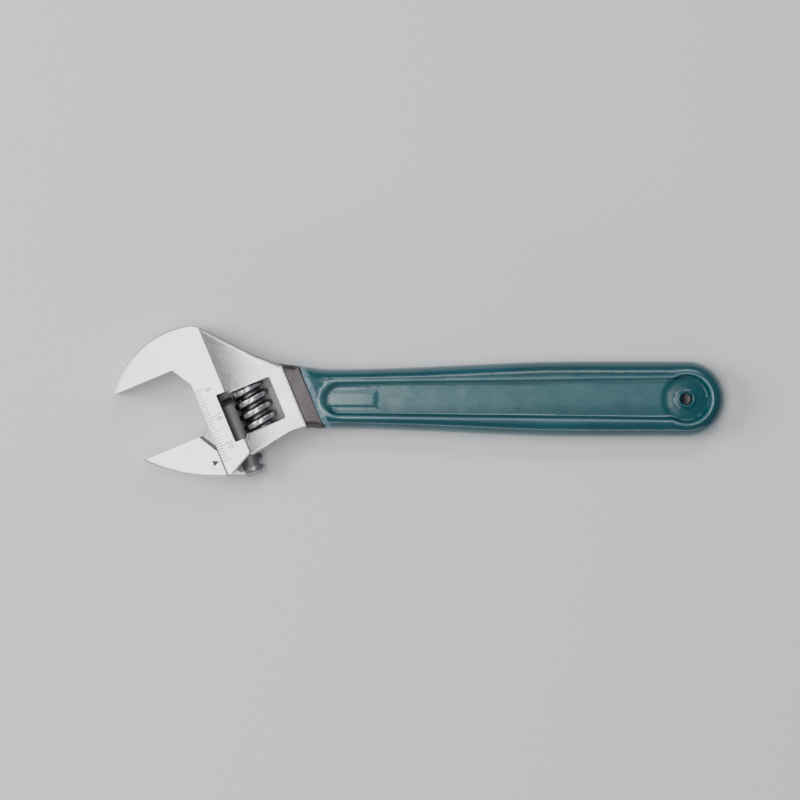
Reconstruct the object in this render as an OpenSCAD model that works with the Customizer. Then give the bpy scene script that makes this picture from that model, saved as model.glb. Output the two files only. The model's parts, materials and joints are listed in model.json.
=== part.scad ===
// Adjustable wrench, nominal size 200 mm, drawn lying flat in millimetres.
// +X runs along the handle from the jaws to the hanging hole, +Y points to the
// fixed jaw, +Z is up. The origin is the bottom centre of the whole tool with
// its jaws open as drawn.
// The head has a frame of its own: x runs along the jaw faces towards the
// handle, y points to the fixed jaw, and its corner is where the line of the
// fixed jaw's face meets the throat. The movable jaw slides along y.

/* [Overall] */
// Distance along the handle from the hanging hole to the head's corner
hole_to_head = 170.4; // [168:0.1:174]
// Height of the head's corner above the handle's centre line
head_height = 11.1; // [10.5:0.1:11.7]
// Angle between the jaw faces and the handle
head_angle = 22.5; // [21.5:0.5:23.5]
// Thickness of the jaws, the face plate and the grip
thickness = 12.4; // [12:0.1:13.6]

/* [Jaws] */
// Opening between the jaw faces as drawn
opening = 24; // [20:0.5:25]
// Length of a jaw face from the throat to its tip
jaw_reach = 25.4; // [24.4:0.1:25.8]
// Width of the sixty degree flat between each jaw face and the throat
flat_run = 4; // [3:0.1:4.5]
// Radius of the fixed jaw's outer arc
head_arc_r = 30.85; // [30.4:0.05:31.6]
// Radius of the movable jaw's outer arc
jaw_arc_r = 56.2; // [55:0.1:58]
// Free play between the two closed jaws
closed_gap = 0.2; // [0.1:0.05:0.4]

/* [Face plate and shoulder] */
// Width of the raised face plate, from the throat to its back edge
plate_w = 9.8; // [9.4:0.1:10.2]
// Length of the throat, from the head's corner to the body's lower end
throat_l = 39.8; // [38:0.1:41]
// Distance from the throat to the end of the ground shoulder
shoulder_end = 31; // [30.5:0.1:31.5]
// Thickness of the shoulder beside the face plate
shoulder_low = 7.8; // [7.6:0.1:8.6]
// Thickness of the shoulder at its handle end
shoulder_high = 10.8; // [10:0.1:11]
// Thickness of the bare neck in front of the grip
neck_t = 9.2; // [8.6:0.1:9.6]

/* [Rack] */
// Radius of the toothed rack
rack_r = 4; // [3.8:0.05:4.1]
// Distance from the throat to the rack's centre line
rack_x = 8.8; // [8.6:0.05:9]
// Length of the rack
rack_l = 27.8; // [26.5:0.1:27.9]
// Thickness of the web that joins the rack to the movable jaw
web_t = 4; // [3.4:0.1:4.2]

/* [Worm] */
// Distance from the throat to the worm's centre line
worm_x = 17.2; // [17.1:0.05:17.4]
// Outer radius of the worm
worm_r = 6; // [5.9:0.05:6.1]
// Depth of the worm's thread
thread_depth = 2.5; // [2.3:0.05:2.5]
// Lead of the worm's single thread, which is also the pitch of the rack
lead = 3.9; // [3.8:0.05:4]
// Width of the thread's crest
crest_w = 1.6; // [1.4:0.05:1.7]
// Length of the worm
worm_l = 14.3; // [14:0.1:14.4]
// Radius of the worm pin
pin_r = 1.75; // [1.5:0.05:1.8]

/* [Handle and grip] */
// Width of the grip at its waist near the head
waist_w = 20.4; // [19:0.1:21.5]
// Width of the grip at its round end
end_w = 25.7; // [24:0.1:27]
// Thickness of the vinyl coat
coat_t = 0.9; // [0.6:0.1:1.2]
// Distance from the throat to the front edge of the vinyl coat
coat_start = 36; // [35:0.1:37]
// Thickness of the coated web between the handle's rails
panel_t = 6.8; // [6:0.1:7.6]
// Radius of the hanging hole
hole_r = 1.95; // [1.5:0.05:2.5]
// Radius of the round dish around the hanging hole
dish_r = 8.8; // [8:0.1:9.4]

/* [Hidden] */
$fn = 96;

// Reach of the cutting shapes past whatever they cut, and of one solid into the next
past = 20;
bite = 1;
// Steps of the shoulder's curved slope, and stations along the handle's edges
shoulder_steps = 8;
edge_steps = 22;

// Head: the outer arc passes through the fixed jaw's tip
arc_x = -0.35;
arc_y = -sqrt(pow(head_arc_r, 2) - pow(jaw_reach + arc_x, 2));
flat_drop = flat_run * tan(60);
// The arc ends here, and a straight corner runs down to the plate's back edge
crown_x = 7.4;
plate_top = 10.2;
body_end = -throat_l;
// The body's lower corner is cut back behind this width, up to this height
corner_x = 1.5;
corner_y = body_end - 0.3;
plate_corner_y = body_end + 3.8;
// Blind end of the rack's bore above the closed rack
bore_end_play = 0.4;

// Window for the worm, and its wider part that shows the rack
window_top = -14.4;
window_bottom = -29.3;
window_end = 25.2;
rack_window_x = 6.6;
rack_window_top = window_top + 1;
rack_window_bottom = window_bottom - 1.2;

// Movable jaw, drawn at the stated opening
face_y = -opening - closed_gap;
jaw_back = -0.2;
jaw_arc_x = 17.1;
jaw_tip_x = 0.55 - jaw_reach;
jaw_arc_y = face_y + sqrt(pow(jaw_arc_r, 2) - pow(jaw_arc_x - jaw_tip_x, 2));
jaw_bottom = jaw_arc_y - sqrt(pow(jaw_arc_r, 2) - pow(jaw_arc_x, 2));
// The web reaches this far into the jaw block
web_x = -8;
// Concave fillet at the top of the web, next to the throat
fillet_r = 4.6;
fillet_x = -4.9;
fillet_y = face_y + fillet_r - 0.4;
rack_bottom = -19.4 - opening;
rack_top = rack_bottom + rack_l;
rack_chamfer = 1.2;
// The rack's upper end and the bore's blind end are cones of this length
rack_nose = 2.4;

// Clearances of the sliding parts
slide_play = 0.12;
slot_play = 0.3;
worm_play = 0.06;

// Thread of the worm: flanks at this angle, sampled this many times a turn
flank_angle = 15;
cam_steps = 20;
root_r = worm_r - thread_depth;
worm_top = window_top - 0.35;
// Height at which the crest faces the handle, so that the thread meets the rack
crest_y = -18.4;
lead_angle = atan(lead / (2 * PI * (worm_r - 1)));

// Rack: the grooves end this far behind the worm's crests, with this play beside each flank
groove_end_play = 0.4;
tooth_root_x = worm_x - worm_r - groove_end_play;
tooth_play = 0.19;
groove_depth = 4;
groove_count = 8;

// Spring in the worm's upper end: wire, mean radius, length with its seat, and sweep
spring_wire_r = 0.3;
spring_r = pin_r + 0.6;
spring_l = 4.4;
spring_play = 0.05;
spring_turns = 5;
spring_steps = 14;
spring_sides = 6;
spring_seat_r = spring_r + spring_wire_r + 0.25;

// Pin: a shank with a slotted head let into the body's lower edge
pin_top = -9;
pin_head_r = pin_r + 0.65;
pin_head_top = -33.6;
pin_bottom = -35.4;
pin_slot_w = 0.8;
pin_slot_depth = 0.9;

// Handle: the waist, where the taper ends, and the centre of the round end
waist_x = -119;
taper_end_x = -35;
end_x = 0.45;
flare = 0.0083;
handle_start = -142;
panel_start = -124.6;
panel_start_r = 6.1;
panel_end_r = dish_r - 1.2;
steel_hole_r = hole_r + coat_t + 0.6;
lip_w = 1.05;
lip_h = 0.35;

// Middle of the whole tool, measured from the hanging hole
tip_x = -hole_to_head - jaw_reach * cos(head_angle);
head_top = head_height + crown_x * sin(head_angle) + arc_top(crown_x) * cos(head_angle);
jaw_low = head_height + jaw_arc_x * sin(head_angle) + jaw_arc_y * cos(head_angle) - jaw_arc_r;
middle = [(tip_x + end_x + end_w / 2) / 2, (head_top + jaw_low) / 2];

// Height of the head's outer arc over the corner at a distance x behind the throat
function arc_top(x) = arc_y + sqrt(pow(head_arc_r, 2) - pow(x - arc_x, 2));

function smooth(t) = let (c = max(0, min(1, t))) c * c * (3 - 2 * c);

// Half width of the coated handle at a distance x from the hanging hole
function half_width(x) = waist_w / 2
    + (end_w - waist_w) / 2 * smooth((x - waist_x) / (taper_end_x - waist_x))
    + flare * pow(max(0, waist_x - x), 2);

// Both edges of the handle, drawn in by an inset
function handle_edge(from, inset, side) = [
    for (i = [0:edge_steps])
        let (x = from + (end_x - from) * i / edge_steps)
            [x, side * (half_width(x) - inset)]
];

// Radius of the worm's section at an angle u away from the middle of the crest
function cam_r(u) = let (out = abs(u) / 360 * lead - crest_w / 2)
    out <= 0 ? worm_r : max(root_r, worm_r - out / tan(flank_angle));

function reversed(list) = [for (i = [len(list) - 1:-1:0]) list[i]];

// Puts its children in the tool's frame, from the frame of the hanging hole
module in_tool() {
    translate([-middle[0], -middle[1], thickness / 2])
        children();
}

// Puts its children in the frame of the hanging hole, from the head's frame
module in_head() {
    translate([-hole_to_head, head_height, 0])
        rotate([0, 0, head_angle])
            children();
}

// A round bar along the sliding direction, from y_top down to y_bottom
module slide_bar(x, y_top, y_bottom, r) {
    translate([x, y_top, 0])
        rotate([90, 0, 0])
            cylinder(r = r, h = y_top - y_bottom);
}

// A block given by its corners in plan, through the whole thickness
module through_block(x0, y0, x1, y1) {
    translate([x0, y0, -past])
        cube([x1 - x0, y1 - y0, 2 * past]);
}

// Fixed jaw and face plate, one flat slab bounded by the outer arc
module face_plate() {
    intersection() {
        translate([arc_x, arc_y, -thickness / 2])
            cylinder(r = head_arc_r, h = thickness);
        linear_extrude(2 * past, center = true)
            polygon([
                [-jaw_reach - 2, 0],
                [-flat_run, 0],
                [0, -flat_drop],
                [0, body_end],
                [corner_x, corner_y],
                [plate_w, plate_corner_y],
                [plate_w, plate_top],
                [crown_x, arc_top(crown_x)],
                [crown_x, past],
                [-jaw_reach - 2, past]
            ]);
    }
}

// Ground shoulder between the face plate and the handle, hollowed towards the plate
module shoulder() {
    rise = (shoulder_high - shoulder_low) / 2;
    start = plate_w - bite;
    slope = [
        for (i = [0:shoulder_steps])
            let (t = i / shoulder_steps)
                [start + (shoulder_end - start) * t, shoulder_low / 2 + rise * (1 - pow(1 - t, 2))]
    ];
    intersection() {
        linear_extrude(2 * past, center = true)
            polygon([
                [start, plate_top],
                [plate_w, plate_top],
                [22.4, -4.4],
                [28.4, -10],
                [shoulder_end, -12.6],
                [shoulder_end, -35.2],
                [25, -34.8],
                [16, -36.2],
                [plate_w, -37.2],
                [start, plate_corner_y - 0.4]
            ]);
        translate([0, past, 0])
            rotate([90, 0, 0])
                linear_extrude(4 * past)
                    polygon(concat(slope, reversed([for (p = slope) [p[0], -p[1]]])));
    }
}

// The handle between its rails' faces: a slab with a round end
module handle_slab(from, inset, t) {
    union() {
        linear_extrude(t, center = true)
            polygon(concat(handle_edge(from, inset, 1), reversed(handle_edge(from, inset, -1))));
        translate([end_x, 0, -t / 2])
            cylinder(r = end_w / 2 - inset, h = t);
    }
}

// The hollow between the rails on one face, ending in a dish around the hole
module panel_hollow(grow) {
    r = panel_start_r + grow;
    wide = panel_end_r + grow;
    start = panel_start + panel_start_r;
    union() {
        translate([start, 0, 0])
            cylinder(r = r, h = past);
        linear_extrude(past)
            polygon([[start, -r], [0, -wide], [0, wide], [start, r]]);
        cylinder(r = dish_r + grow, h = past);
    }
}

// The whole handle with its two hollows, drawn in by an inset on every face
module handle_shape(inset) {
    difference() {
        handle_slab(handle_start, inset, thickness - 2 * inset);
        for (side = [0, 1])
            mirror([0, 0, side])
                translate([0, 0, panel_t / 2 - inset])
                    panel_hollow(inset);
    }
}

// Everything on the handle's side of the vinyl coat's front edge
module behind_coat_edge() {
    in_head()
        through_block(coat_start, -6 * past, 12 * past, 6 * past);
}

// Everything on the jaws' side of the vinyl coat's front edge
module before_coat_edge() {
    in_head()
        through_block(-3 * past, -6 * past, coat_start, 6 * past);
}

// Bore for the rack, blind towards the fixed jaw, and the slot for the web
module rack_way() {
    top = rack_top + opening + bore_end_play;
    bore_r = rack_r + slide_play;
    translate([rack_x, top, 0])
        rotate([90, 0, 0])
            rotate_extrude()
                polygon([
                    [0, 0],
                    [bore_r - rack_nose, 0],
                    [bore_r, rack_nose],
                    [bore_r, 4 * past],
                    [0, 4 * past]
                ]);
    difference() {
        linear_extrude(web_t + 2 * slide_play, center = true)
            polygon([
                [fillet_x, fillet_y + opening + slot_play],
                [jaw_back, fillet_y + opening + slot_play],
                [rack_x, top - rack_nose],
                [rack_x, -3 * past],
                [web_x, -3 * past],
                [web_x, fillet_y + opening - fillet_r + slot_play],
                [fillet_x, fillet_y + opening - fillet_r + slot_play]
            ]);
        translate([fillet_x, fillet_y + opening, -past])
            cylinder(r = fillet_r - slot_play, h = 2 * past);
    }
}

// Window for the worm, with the wider slot beside it where the rack shows
module worm_window() {
    through_block(rack_window_x, rack_window_bottom, plate_w + 0.4, rack_window_top);
    through_block(plate_w, window_bottom, window_end, window_top);
}

// Hole for the worm pin, through the lower wall and blind in the upper one
module pin_hole() {
    slide_bar(worm_x, pin_top, pin_bottom - past, pin_r);
    slide_bar(worm_x, pin_head_top, pin_bottom - past, pin_head_r);
}

module body() {
    color([0.80, 0.79, 0.80])
        in_tool()
            difference() {
                union() {
                    in_head() {
                        face_plate();
                        shoulder();
                    }
                    intersection() {
                        handle_slab(handle_start, 0, neck_t);
                        before_coat_edge();
                    }
                    intersection() {
                        handle_shape(coat_t);
                        behind_coat_edge();
                    }
                }
                in_head() {
                    rack_way();
                    worm_window();
                    pin_hole();
                }
                translate([0, 0, -past])
                    cylinder(r = steel_hole_r, h = 2 * past);
            }
}

// Jaw block: a face, a sixty degree flat, the back that runs on the throat, and the outer arc
module jaw_block() {
    intersection() {
        translate([jaw_arc_x, jaw_arc_y, -thickness / 2])
            cylinder(r = jaw_arc_r, h = thickness);
        linear_extrude(2 * past, center = true)
            polygon([
                [-2 * jaw_reach, face_y],
                [-flat_run + jaw_back, face_y],
                [jaw_back, face_y - flat_drop],
                [jaw_back, 2 * jaw_bottom],
                [-2 * jaw_reach, 2 * jaw_bottom]
            ]);
    }
}

// Web that runs through the body's slot, with its concave fillet towards the face
module jaw_web() {
    difference() {
        linear_extrude(web_t, center = true)
            polygon([
                [fillet_x, fillet_y],
                [jaw_back, fillet_y],
                [rack_x, rack_top - rack_nose],
                [rack_x, rack_bottom + rack_chamfer],
                [rack_x - rack_r, rack_bottom + rack_chamfer],
                [jaw_back, jaw_bottom + 0.1],
                [web_x, jaw_bottom + 4],
                [web_x, fillet_y - fillet_r],
                [fillet_x, fillet_y - fillet_r]
            ]);
        translate([fillet_x, fillet_y, -past])
            cylinder(r = fillet_r, h = 2 * past);
    }
}

// One groove of the rack: its flanks match the worm's thread, leaning by the lead angle
module rack_groove(y) {
    root_w = crest_w + 2 * tooth_play - 2 * groove_end_play * tan(flank_angle);
    open_w = root_w + 2 * groove_depth * tan(flank_angle);
    translate([tooth_root_x, y, 0])
        rotate([-lead_angle, 0, 0])
            linear_extrude(past, center = true)
                polygon([
                    [0, -root_w / 2],
                    [groove_depth, -open_w / 2],
                    [groove_depth, open_w / 2],
                    [0, root_w / 2]
                ]);
}

module movable_jaw() {
    color([0.86, 0.85, 0.86])
        in_tool()
            in_head() {
                jaw_block();
                jaw_web();
                difference() {
                    translate([rack_x, rack_top, 0])
                        rotate([90, 0, 0])
                            rotate_extrude()
                                polygon([
                                    [0, 0],
                                    [rack_r - rack_nose, 0],
                                    [rack_r, rack_nose],
                                    [rack_r, rack_l - rack_chamfer],
                                    [rack_r - rack_chamfer, rack_l],
                                    [0, rack_l]
                                ]);
                    for (i = [0:groove_count - 1])
                        rack_groove(crest_y - (i - 0.5) * lead);
                }
            }
}

// Threaded body of the worm, its section turning once in each lead
module worm_thread() {
    crest_turn = (crest_y - worm_top) / lead * 360;
    section = [
        for (i = [0:cam_steps - 1])
            let (u = i * 360 / cam_steps - 180) cam_r(u) * [cos(u + crest_turn), sin(u + crest_turn)]
    ];
    turn = 360 * worm_l / lead;
    translate([worm_x, worm_top, 0])
        rotate([90, 0, 0])
            linear_extrude(worm_l, twist = -turn, slices = round(turn * cam_steps / 360), $fn = cam_steps)
                polygon(section);
}

module worm() {
    color([0.62, 0.61, 0.62])
        in_tool()
            in_head()
                difference() {
                    worm_thread();
                    slide_bar(worm_x, worm_top + 1, worm_top - worm_l - 1, pin_r + worm_play);
                    slide_bar(worm_x, worm_top + 1, worm_top - spring_l, spring_seat_r);
                }
}

module worm_pin() {
    color([0.50, 0.49, 0.49])
        in_tool()
            in_head()
                difference() {
                    union() {
                        slide_bar(worm_x, pin_top, pin_head_top - 0.1, pin_r);
                        slide_bar(worm_x, pin_head_top, pin_bottom, pin_head_r);
                    }
                    translate([worm_x, pin_bottom, 0])
                        cube([pin_slot_w, 2 * pin_slot_depth, 2 * past], center = true);
                }
}

// Coil spring around the pin: rings of wire swept along a helix
module worm_spring() {
    sides = spring_sides;
    rings = spring_steps * spring_turns;
    rise = spring_l - 2 * spring_wire_r - 2 * spring_play;
    points = [
        for (i = [0:rings])
            for (j = [0:sides - 1])
                let (
                    turn = 360 * i / spring_steps,
                    around = 360 * j / sides,
                    r = spring_r + spring_wire_r * cos(around)
                )
                    [r * cos(turn), r * sin(turn), rise * i / rings + spring_wire_r * sin(around)]
    ];
    wire_faces = [
        for (i = [0:rings - 1])
            for (j = [0:sides - 1])
                let (a = i * sides + j, b = i * sides + (j + 1) % sides)
                    [a, b, b + sides, a + sides]
    ];
    first_end = [[for (j = [sides - 1:-1:0]) j]];
    last_end = [[for (j = [0:sides - 1]) rings * sides + j]];
    color([0.45, 0.45, 0.46])
        in_tool()
            in_head()
                translate([worm_x, window_top - spring_wire_r - spring_play, 0])
                    rotate([90, 0, 0])
                        polyhedron(points, concat(wire_faces, first_end, last_end));
}

// Dipped vinyl coat over the handle, which also lines the hanging hole
module grip() {
    color([0.24, 0.58, 0.62])
        in_tool()
            difference() {
                union() {
                    intersection() {
                        difference() {
                            handle_shape(0);
                            handle_shape(coat_t);
                        }
                        behind_coat_edge();
                    }
                    translate([0, 0, -panel_t / 2 - lip_h])
                        cylinder(r = hole_r + lip_w, h = panel_t + 2 * lip_h);
                    translate([0, 0, -panel_t / 2])
                        cylinder(r = steel_hole_r, h = panel_t);
                }
                translate([0, 0, -past])
                    cylinder(r = hole_r, h = 2 * past);
            }
}

body();
movable_jaw();
worm();
worm_pin();
worm_spring();
grip();
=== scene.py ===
"""Looks of an adjustable wrench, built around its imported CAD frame.

Shapes are worked out in millimetres in three frames: the tool's own, the
head's (x from the throat towards the handle, y towards the fixed jaw, which
is also the sliding direction) and the hanging hole's. Each flat piece is a
closed solid, the same on both faces, whose height is a function of its place.
"""

import json
import math

import bpy
import numpy as np
from mathutils import Matrix, Vector
from mathutils.geometry import delaunay_2d_cdt


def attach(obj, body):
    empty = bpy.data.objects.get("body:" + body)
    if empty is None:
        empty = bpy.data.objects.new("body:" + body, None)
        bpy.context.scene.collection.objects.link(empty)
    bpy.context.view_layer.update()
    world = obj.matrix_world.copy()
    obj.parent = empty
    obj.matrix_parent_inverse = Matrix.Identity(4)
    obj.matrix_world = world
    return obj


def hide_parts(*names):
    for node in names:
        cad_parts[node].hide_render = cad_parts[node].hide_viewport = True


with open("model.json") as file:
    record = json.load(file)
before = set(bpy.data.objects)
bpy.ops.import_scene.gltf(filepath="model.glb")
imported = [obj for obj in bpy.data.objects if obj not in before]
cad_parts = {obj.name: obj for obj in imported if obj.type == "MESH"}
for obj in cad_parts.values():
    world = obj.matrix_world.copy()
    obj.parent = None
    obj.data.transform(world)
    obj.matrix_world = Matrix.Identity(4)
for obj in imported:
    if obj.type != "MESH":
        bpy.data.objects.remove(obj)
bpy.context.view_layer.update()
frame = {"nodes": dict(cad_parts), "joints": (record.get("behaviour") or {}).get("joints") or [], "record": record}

MM = 0.001
nodes = frame["nodes"]
joints = {joint["name"]: joint for joint in frame["joints"]}
mounts = {mount["name"]: mount for mount in frame["record"]["mounts"]}

# ---- dimensions
# Head, in its own frame
REACH = 25.4
OPENING = 24.2
TRAVEL = 24.0
FLAT = 4.0
DROP = FLAT * math.tan(math.radians(60))
THROAT = 39.8
PLATE_W = 9.8
PLATE_TOP = 10.2
CROWN_X = 7.4
ARC_X, ARC_R = -0.35, 30.85
ARC_Y = -math.sqrt(ARC_R**2 - (REACH + ARC_X) ** 2)
SHOULDER_END = 31.0
SHOULDER_START = PLATE_W - 1.0
SHOULDER_LOW, SHOULDER_HIGH = 3.9, 5.4
NECK_Z = 4.6
HALF_T = 6.2
SKIN = 0.01
GROUND_DEPTH = 0.75

# Window for the worm, and its wider part beside the rack
WIN_TOP, WIN_BOTTOM, WIN_END = -14.4, -29.3, 25.2
RACK_WIN_X, RACK_WIN_TOP, RACK_WIN_BOTTOM = 6.6, -13.4, -30.5

# Rack, worm and pin
RACK_X, RACK_R, RACK_TOP, RACK_BOTTOM = 8.8, 4.0, -15.6, -43.4
RACK_CHAMFER, RACK_NOSE, BORE_END = 1.2, 2.4, 0.4
# below this the rack keeps its lighter, lit look; above it the rack is painted dark as shade
RACK_LIT_END_Y = -40.6
# width of the painted shadow along the movable jaw's flat
SHADOW_BAND_W = 0.9
SLIDE_PLAY = 0.12
WEB_HALF, WEB_X = 2.0, -8.0
CUT_END = -60.0
LEAD = 3.9
WORM_X, WORM_MID = 17.2, -21.9
WORM_R, ROOT_R = 6.0, 3.5
WORM_TOP, WORM_L = -14.75, 14.3
CREST_W, CREST_Y = 1.6, -18.4
GROOVES = 8
FLANK = math.radians(15)
PIN_R, PIN_HEAD_R, PIN_HEAD_TOP, PIN_WAY_TOP = 1.75, 2.4, -33.6, -9.0
SPRING_R, WIRE_R, SPRING_L = 2.35, 0.3, 4.4

# Movable jaw
JAW_BACK = -0.2
JAW_TIP = 0.55 - REACH
JAW_ARC_X, JAW_ARC_R = 17.1, 56.2
JAW_ARC_Y = -OPENING + math.sqrt(JAW_ARC_R**2 - (JAW_ARC_X - JAW_TIP) ** 2)
FILLET_X, FILLET_R = -4.9, 4.6
FILLET_Y = -OPENING + FILLET_R - 0.4

# Handle, in the hanging hole's frame
COAT = 0.9
COAT_START = 36.0
WAIST_W, END_W, WAIST_X, TAPER_END = 20.4, 25.7, -119.0, -35.0
FLARE = 0.0083
END_X = 0.45
PANEL_X, PANEL_R, PANEL_END_R, DISH_R = -118.5, 6.1, 7.6, 8.8
FLOOR_Z = 3.35
HOLE_R, LIP_R, LIP_H = 1.95, 3.0, 0.35
RAIL_W, FRONT_EDGE = 4.8, 0.5
FRONT_Z, FRONT_RUN = 5.15, 7
HOLE_EDGE, DISH_WALL = 0.45, 2.2
WALL_W, WALL_MORE, WALL_RUN = 1.5, 1.9, 5
PAD_X0, PAD_X1, PAD_Y, PAD_H, PAD_SOFT = -121.5, -105.3, 2.4, 0.3, 0.45

# Scale on the plate
SCALE_START, SCALE_X = -9.8, 0.32
TICKS, TICK_W, STROKE_W = 26, 0.23, 0.26
TICK_L, FIVE_L, TEN_L = 1.9, 2.5, 3.4
NUMERAL_X = 4.75
DIGIT_H, DIGIT_W, DIGIT_GAP = 1.75, 1.05, 0.4
INLAY = 0.15

# Camera, in the tool's frame; its sensor in millimetres too
VIEW_X, VIEW_Y, VIEW_Z, VIEW_W = -6.8, 0.39, 3.0, 271.2
CAMERA_H = 950.0
SENSOR = 36.0

# ---- frames
slide = Vector(joints["jaw_slide"]["axis"])
TILT = math.atan2(slide.x, -slide.y)
worm_centre = Vector(joints["worm_spin"]["pos_m"]) / MM
HEAD = Matrix.Rotation(TILT, 4, "Z")
HEAD.translation = worm_centre - HEAD.to_3x3() @ Vector((WORM_X, WORM_MID, 0))
HOLE = Matrix.Translation(Vector(mounts["hang_hole"]["pos_m"]) / MM)
HOLE_TO_HEAD = HOLE.inverted() @ HEAD


def front_distance(x, y):
    """Distance behind the coat's front edge of points in the hole's frame."""
    back = HOLE_TO_HEAD.inverted()
    return back[0][0] * x + back[0][1] * y + back[0][3] - COAT_START


# ---- plan outlines
def smooth(t):
    """Smooth step from 0 to 1."""
    t = np.clip(t, 0.0, 1.0)
    return t * t * (3 - 2 * t)


def arc(cx, cy, r, start, end, count):
    """Points on an arc, with angles in radians."""
    turn = np.linspace(start, end, count)
    return list(zip(cx + r * np.cos(turn), cy + r * np.sin(turn)))


def outline(corners, step=0.6):
    """Closed loop of (x, y, edge radius), anticlockwise round the material.

    Each corner is (x, y, corner radius, radius of the edge after it), and
    the corner radius rounds it in plan.
    """
    parts = []
    count = len(corners)
    for i, (x, y, bend, edge) in enumerate(corners):
        here = Vector((x, y))
        before = Vector(corners[i - 1][:2]) - here
        after = Vector(corners[(i + 1) % count][:2]) - here
        if bend <= 0:
            parts.append((x, y, edge))
            continue
        u, v = before.normalized(), after.normalized()
        half = math.acos(max(-1.0, min(1.0, u.dot(v)))) / 2
        setback = min(bend / math.tan(half), 0.48 * before.length, 0.48 * after.length)
        bend = setback * math.tan(half)
        centre = here + (u + v).normalized() * (bend / math.sin(half))
        first = here + u * setback - centre
        sweep = math.pi - 2 * half
        if u.cross(v) > 0:
            sweep = -sweep
        pieces = max(2, int(math.ceil(abs(sweep) * bend / step)), int(abs(sweep) / 0.3))
        old_edge = corners[i - 1][3]
        for k in range(pieces + 1):
            t = k / pieces
            p = centre + Matrix.Rotation(sweep * t, 2) @ first
            parts.append((p.x, p.y, old_edge + (edge - old_edge) * t))
    loop = []
    for i, (x, y, edge) in enumerate(parts):
        nx, ny, _ = parts[(i + 1) % len(parts)]
        length = math.hypot(nx - x, ny - y)
        pieces = max(1, int(math.ceil(length / step)))
        for k in range(pieces):
            loop.append((x + (nx - x) * k / pieces, y + (ny - y) * k / pieces, edge))
    return np.array(loop)


def plain(points):
    """Corners for outline() that aren't rounded."""
    return [(x, y, 0, 1) for x, y in points]


def nearest(points, loop):
    """Distance of each point to a closed loop, and the place on it from 0 to len."""
    a = loop[:, :2]
    d = np.roll(a, -1, axis=0) - a
    length2 = np.maximum((d * d).sum(1), 1e-12)
    distance = np.empty(len(points))
    place = np.empty(len(points))
    for i in range(0, len(points), 2000):
        p = points[i : i + 2000, None, :2] - a[None]
        t = np.clip((p * d[None]).sum(2) / length2[None], 0, 1)
        away = p - t[..., None] * d[None]
        squared = (away * away).sum(2)
        k = squared.argmin(1)
        rows = np.arange(len(k))
        distance[i : i + 2000] = np.sqrt(squared[rows, k])
        place[i : i + 2000] = k + t[rows, k]
    return distance, place


def on_loop(values, place):
    """Values of a loop's points, read in between them."""
    k = place.astype(int) % len(values)
    t = place - place.astype(int)
    return values[k] * (1 - t) + values[(k + 1) % len(values)] * t


def inside(points, loop):
    """Whether each point is inside a closed loop."""
    x0, y0 = loop[:, 0], loop[:, 1]
    x1, y1 = np.roll(x0, -1), np.roll(y0, -1)
    found = np.zeros(len(points), bool)
    for i in range(0, len(points), 4000):
        px, py = points[i : i + 4000, 0, None], points[i : i + 4000, 1, None]
        spans = (y0 > py) != (y1 > py)
        rise = np.where(y1 == y0, 1e-12, y1 - y0)
        crossing = x0 + (py - y0) * (x1 - x0) / rise
        found[i : i + 4000] = (spans & (px < crossing)).sum(1) % 2 == 1
    return found


def offset(loop, distances):
    """The loop's points moved inwards, towards its left side, by each distance."""
    ahead = np.roll(loop[:, :2], -1, axis=0) - loop[:, :2]
    ahead /= np.maximum(np.linalg.norm(ahead, axis=1), 1e-9)[:, None]
    along = ahead + np.roll(ahead, 1, axis=0)
    along /= np.maximum(np.linalg.norm(along, axis=1), 1e-9)[:, None]
    left = np.stack([-along[:, 1], along[:, 0]], 1)
    return loop[:, :2] + left * np.asarray(distances).reshape(-1, 1)


# ---- solids in code
def to_object(name, verts, faces, place=None):
    """A mesh object in the tool's frame, in millimetres."""
    mesh = bpy.data.meshes.new(name)
    mesh.from_pydata([tuple(v) for v in verts], [], faces)
    if place is not None:
        mesh.transform(place)
    mesh.validate()
    mesh.update()
    obj = bpy.data.objects.new(name, mesh)
    bpy.context.scene.collection.objects.link(obj)
    return obj


def grid_points(loop, spacing):
    """Points of a triangular grid over a loop's box."""
    low, high = loop[:, :2].min(0), loop[:, :2].max(0)
    rows = np.arange(low[1], high[1], spacing * math.sqrt(0.75))
    found = []
    for i, y in enumerate(rows):
        xs = np.arange(low[0] + (i % 2) * spacing / 2, high[0], spacing)
        found.append(np.stack([xs, np.full_like(xs, y)], 1))
    return np.concatenate(found)


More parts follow.
